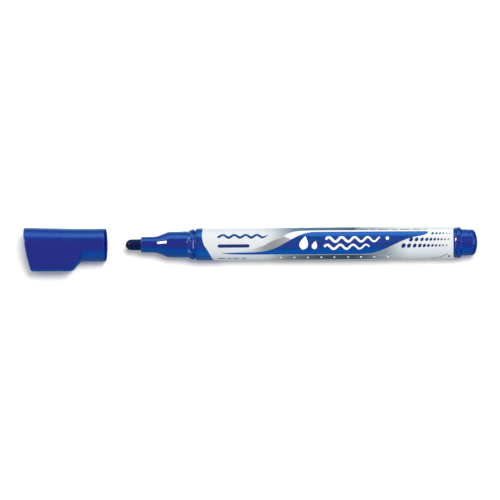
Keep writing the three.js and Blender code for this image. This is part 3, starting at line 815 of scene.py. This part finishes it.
def water_line(name, x0, x1, y, amp, period, width):
    """An even wave whose line thins out at its end."""
    u = np.linspace(0, 1, 320)
    ph = 2 * math.pi * (x1 - x0) / period * u
    brush(name, [(x0 + (x1 - x0) * a, y + amp * math.sin(p)) for a, p in zip(u, ph)], width * (1 - 0.45 * u ** 2), ink_white)


ink_drop("print_drop", 19.9, -2.35, 1.62, 5.3, 1.1)
ink_drop("print_small_drop", 24.1, -2.2, 1.02, 3.2, 0.7)
water_line("print_water_line", 28.6, 49.2, 1.45, 0.86, 4.9, 0.98)
water_line("print_water_line_low", 28.0, 45.2, -1.35, 0.80, 4.9, 0.92)
dots("print_spots", [(52.0, 17.5, 1.3, 1.3)] + [(x, -59.5, 0.78, 1.05) for x in (11.7, 16.75, 21.85, 26.95, 31.9, 37.1, 42.0, 47.0, 52.1)],
     ink_white, slant=0.0)
dots("print_rear_spot", [(75.3, -58.0, 1.1, 1.1)], ink_grey, slant=0.0)
# the film's lapped seam, underneath
print_shell("label_seam", [[(x, p) for p in np.linspace(176, 192, 9)] for x in np.linspace(-19.3, 76.7, 60)],
            label_film, r1=6.09, r0=6.04)

# ------------------------------------------------------------------ cap
cap = build_cap()
finish_piece(cap, "cap", cap_plastic, "cap_plastic", "cap_shell")
seal = lathe("seal_cup", [
    (-81.73, 0, 0), (-81.73, 3.2, 0.5), (-70.4, 3.26, 0.3), (-69.73, 3.6, 0.12), (-69.73, 3.99, 0.15),
    (-81.9, 3.99, 0.12), (-81.9, 4.58, 0.1), (-82.73, 4.58, 0.1), (-82.73, 0, 0)][::-1], closed=False, seg=96)
finish_piece(seal, "seal", natural_plastic, "natural_plastic", "cap_inner_seal")

# ------------------------------------------------------------------ inner pieces keep their CAD shape
for node, mat in (("ink_collector", natural_plastic), ("tank_divider", natural_plastic), ("feed_wick", white_fibre)):
    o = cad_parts[node]
    o.data.materials.clear()
    o.data.materials.append(mat)

# ------------------------------------------------------------------ stage, lights, camera
def floor_material():
    t = Tree("floor_paper")
    g = t.noise(t.co, 900, 3, 0.6)
    col = t.mix(t.ramp(g, 0.3, 0.7), (0.900, 0.892, 0.872), (0.914, 0.907, 0.888))
    t.put(t.bsdf.inputs["Base Color"], col)
    t.put(t.bsdf.inputs["Roughness"], t.math("ADD", 0.8, t.math("MULTIPLY", g, 0.1)))
    t.put(t.bsdf.inputs["Normal"], t.bump(g, 0.00001))
    t.bsdf.inputs["Specular IOR Level"].default_value = 0.0
    return t.mat


floor = make("floor", [(-3000, -3000, 0), (3000, -3000, 0), (3000, 3000, 0), (-3000, 3000, 0)], [(0, 1, 2, 3)])
floor.data.materials.append(floor_material())
floor.visible_glossy = False


def studio_world():
    """Even soft white fill all round. Reflections see the studio itself: a white ceiling panel,
    a long bright strip behind, a blue sweep in front and low down, and pale ends."""
    w = bpy.data.worlds.new("studio")
    w.use_nodes = True
    w.cycles.sampling_method = "NONE"
    nt = w.node_tree
    N = nt.nodes.new
    L = nt.links.new

    def math_(op, a, b=None):
        n = N("ShaderNodeMath")
        n.operation = op
        for s_, v in zip(n.inputs, (a, b)):
            if isinstance(v, bpy.types.NodeSocket):
                L(v, s_)
            elif v is not None:
                s_.default_value = v
        return n.outputs[0]

    sep = N("ShaderNodeSeparateXYZ")
    L(N("ShaderNodeTexCoord").outputs["Generated"], sep.inputs[0])
    dx, dy, dz = sep.outputs
    ang = math_("DEGREES", math_("ARCTAN2", dz, math_("MULTIPLY", dy, -1.0)))     # 0 in front, 90 overhead, 180 behind
    u = math_("DIVIDE", math_("FLOORED_MODULO", math_("ADD", ang, 90.0), 360.0), 360.0)
    k = 18.0
    stops = [(-90, (0.02, 0.1, 0.3)), (-72, (0.04, 0.25, 0.6)), (-45, (0.2, 0.75, 1.1)), (-20, (0.25, 0.9, 1.4)), (-2, (0.02, 1.5, 3.6)), (20, (0, 1.75, 4.1)),
             (35, (0, 1.3, 3.0)), (47, (0.25, 0.8, 1.3)), (60, (0.64, 0.66, 0.66)), (100, (0.64, 0.66, 0.66)), (114, (0.32, 0.6, 0.6)),
             (124, (0.10, 0.9, 0.6)), (132, (0.5, 1.6, 2.0)), (140, (1.3, 3.3, 6.0)), (150, (1.5, 3.9, 7.0)), (162, (1.1, 3.2, 6.0)),
             (172, (0.5, 2.0, 3.2)), (182, (0.1, 0.8, 1.1)), (204, (0.2, 0.8, 1.1)), (222, (0.8, 1.3, 1.9)), (236, (0.8, 1.3, 1.8)),
             (254, (0.1, 0.4, 0.7)), (270, (0.02, 0.1, 0.3))]
    rampn = N("ShaderNodeValToRGB")
    e = rampn.color_ramp.elements
    e[0].position, e[1].position = 0.0, 1.0
    for deg, c in stops[1:-1]:
        e.new((deg + 90) / 360)
    for el, (deg, c) in zip(sorted(e, key=lambda v: v.position), stops):
        el.color = (c[0] / k, c[1] / k, c[2] / k, 1.0)
    L(u, rampn.inputs[0])
    end = N("ShaderNodeMapRange")
    end.interpolation_type = "SMOOTHSTEP"
    end.inputs["From Min"].default_value, end.inputs["From Max"].default_value = 0.955, 0.99
    L(math_("ABSOLUTE", dx), end.inputs["Value"])
    mx = N("ShaderNodeMix")
    mx.data_type = "RGBA"
    L(end.outputs[0], mx.inputs[0])
    L(rampn.outputs[0], mx.inputs[6])
    mx.inputs[7].default_value = (3.2 / k, 4.6 / k, 8.0 / k, 1)
    panels = []
    for lo_, hi_ in ((0.775, 0.795), (0.845, 0.870)):
        m = N("ShaderNodeMapRange")
        m.interpolation_type = "SMOOTHSTEP"
        m.inputs["From Min"].default_value, m.inputs["From Max"].default_value = lo_, hi_
        L(math_("ABSOLUTE", dx), m.inputs["Value"])
        panels.append(m.outputs[0])
    mp = N("ShaderNodeMix")
    mp.data_type = "RGBA"
    side = N("ShaderNodeMapRange")                        # the panel at the cap's end is dimmer
    side.inputs["From Min"].default_value, side.inputs["From Max"].default_value = -0.1, 0.1
    side.inputs["To Min"].default_value = 0.4
    L(dx, side.inputs["Value"])
    L(math_("MULTIPLY", math_("SUBTRACT", panels[0], panels[1]), side.outputs[0]), mp.inputs[0])
    L(mx.outputs[2], mp.inputs[6])
    mp.inputs[7].default_value = (6.2 / k, 8.6 / k, 15.5 / k, 1)
    shade = []
    for src, lo_, hi_ in ((dx, 0.18, 0.38), (dz, 0.12, -0.10)):
        m = N("ShaderNodeMapRange")
        m.inputs["From Min"].default_value, m.inputs["From Max"].default_value = lo_, hi_
        L(src, m.inputs["Value"])
        shade.append(m.outputs[0])
    ms = N("ShaderNodeMix")
    ms.data_type = "RGBA"
    L(math_("MULTIPLY", shade[0], shade[1]), ms.inputs[0])
    L(mp.outputs[2], ms.inputs[6])
    ms.inputs[7].default_value = (0.01 / k, 0.20 / k, 0.55 / k, 1)
    seen = N("ShaderNodeBackground")
    L(ms.outputs[2], seen.inputs[0])
    seen.inputs[1].default_value = k
    fill = nt.nodes["Background"]
    fill.inputs[0].default_value = (1, 1, 1, 1)
    fill.inputs[1].default_value = 0.66
    both = N("ShaderNodeMixShader")
    L(N("ShaderNodeLightPath").outputs["Is Glossy Ray"], both.inputs[0])
    L(fill.outputs[0], both.inputs[1])
    L(seen.outputs[0], both.inputs[2])
    L(both.outputs[0], nt.nodes["World Output"].inputs[0])
    SCENE.world = w


studio_world()


def lamp(name, pos, aim, sx, sy, radiance, color=(1, 1, 1), diffuse=True, glossy=True):
    """A rectangular light of the given brightness; sx runs along the pen."""
    d = bpy.data.lights.new(name, "AREA")
    d.shape = "RECTANGLE"
    d.size, d.size_y = sx, sy
    d.energy = radiance * math.pi * sx * sy
    d.color = color
    o = bpy.data.objects.new(name, d)
    SCENE.collection.objects.link(o)
    p, a = Vector(pos), Vector(aim)
    z = (p - a).normalized()
    x = Vector((1, 0, 0))
    x = (x - z * x.dot(z)).normalized()
    y = z.cross(x)
    o.matrix_world = Matrix(((x.x, y.x, z.x, p.x), (x.y, y.y, z.y, p.y), (x.z, y.z, z.z, p.z), (0, 0, 0, 1)))
    o.visible_diffuse = diffuse
    o.visible_glossy = glossy
    return o


AXIS = Vector((0, AY * MM, AZ * MM))
EL = math.radians(80)
CAM = Vector((0, -math.cos(EL), math.sin(EL)))       # from the object to the camera
UP = Vector((0, math.sin(EL), math.cos(EL)))


def around(phi, psi=0.0):
    """Direction phi degrees from the camera's towards the top of the view, psi towards +X."""
    a, b = math.radians(phi), math.radians(psi)
    return (CAM * math.cos(a) + UP * math.sin(a)) * math.cos(b) + Vector((1, 0, 0)) * math.sin(b)


cam_data = bpy.data.cameras.new("camera")
cam = bpy.data.objects.new("camera", cam_data)
SCENE.collection.objects.link(cam)
SCENE.camera = cam
cam_data.sensor_width = 36.0
DIST = 1.084
cam_data.lens = 206.474
cam_data.clip_start, cam_data.clip_end = 0.05, 20.0
YAW, ROLL = math.radians(3.5), -0.00729
zc = (CAM * math.cos(YAW) + Vector((1, 0, 0)) * math.sin(YAW)).normalized()
xc = (Vector((1, 0, 0)) - zc * zc.x).normalized()
yc = zc.cross(xc)
xr = xc * math.cos(ROLL) + yc * math.sin(ROLL)
yr = zc.cross(xr)
pos = AXIS + xr * 0.0001035 - UP * 0.0022935 + zc * DIST
cam.matrix_world = Matrix(((xr.x, yr.x, zc.x, pos.x), (xr.y, yr.y, zc.y, pos.y), (xr.z, yr.z, zc.z, pos.z), (0, 0, 0, 1)))

# soft key from above and a little to the right, the maker of the short shadow
kd = Vector((0.22, 0.175, 1.0)).normalized()
lamp("key", AXIS + kd * 0.75, AXIS, 0.36, 0.36, 15.2, glossy=False)
# small bright bar whose reflection is the wedge of light on the cone of the nose
spot = Vector((-0.0330, AY * MM, AZ * MM))
facet = around(12.0, -21.4)
to_cam = (pos - spot).normalized()
bounce = 2 * facet.dot(to_cam) * facet - to_cam
lamp("spark", spot + bounce * 0.9, spot, 0.13, 0.27, 70.0, diffuse=False)

SCENE.view_settings.view_transform = "Standard"
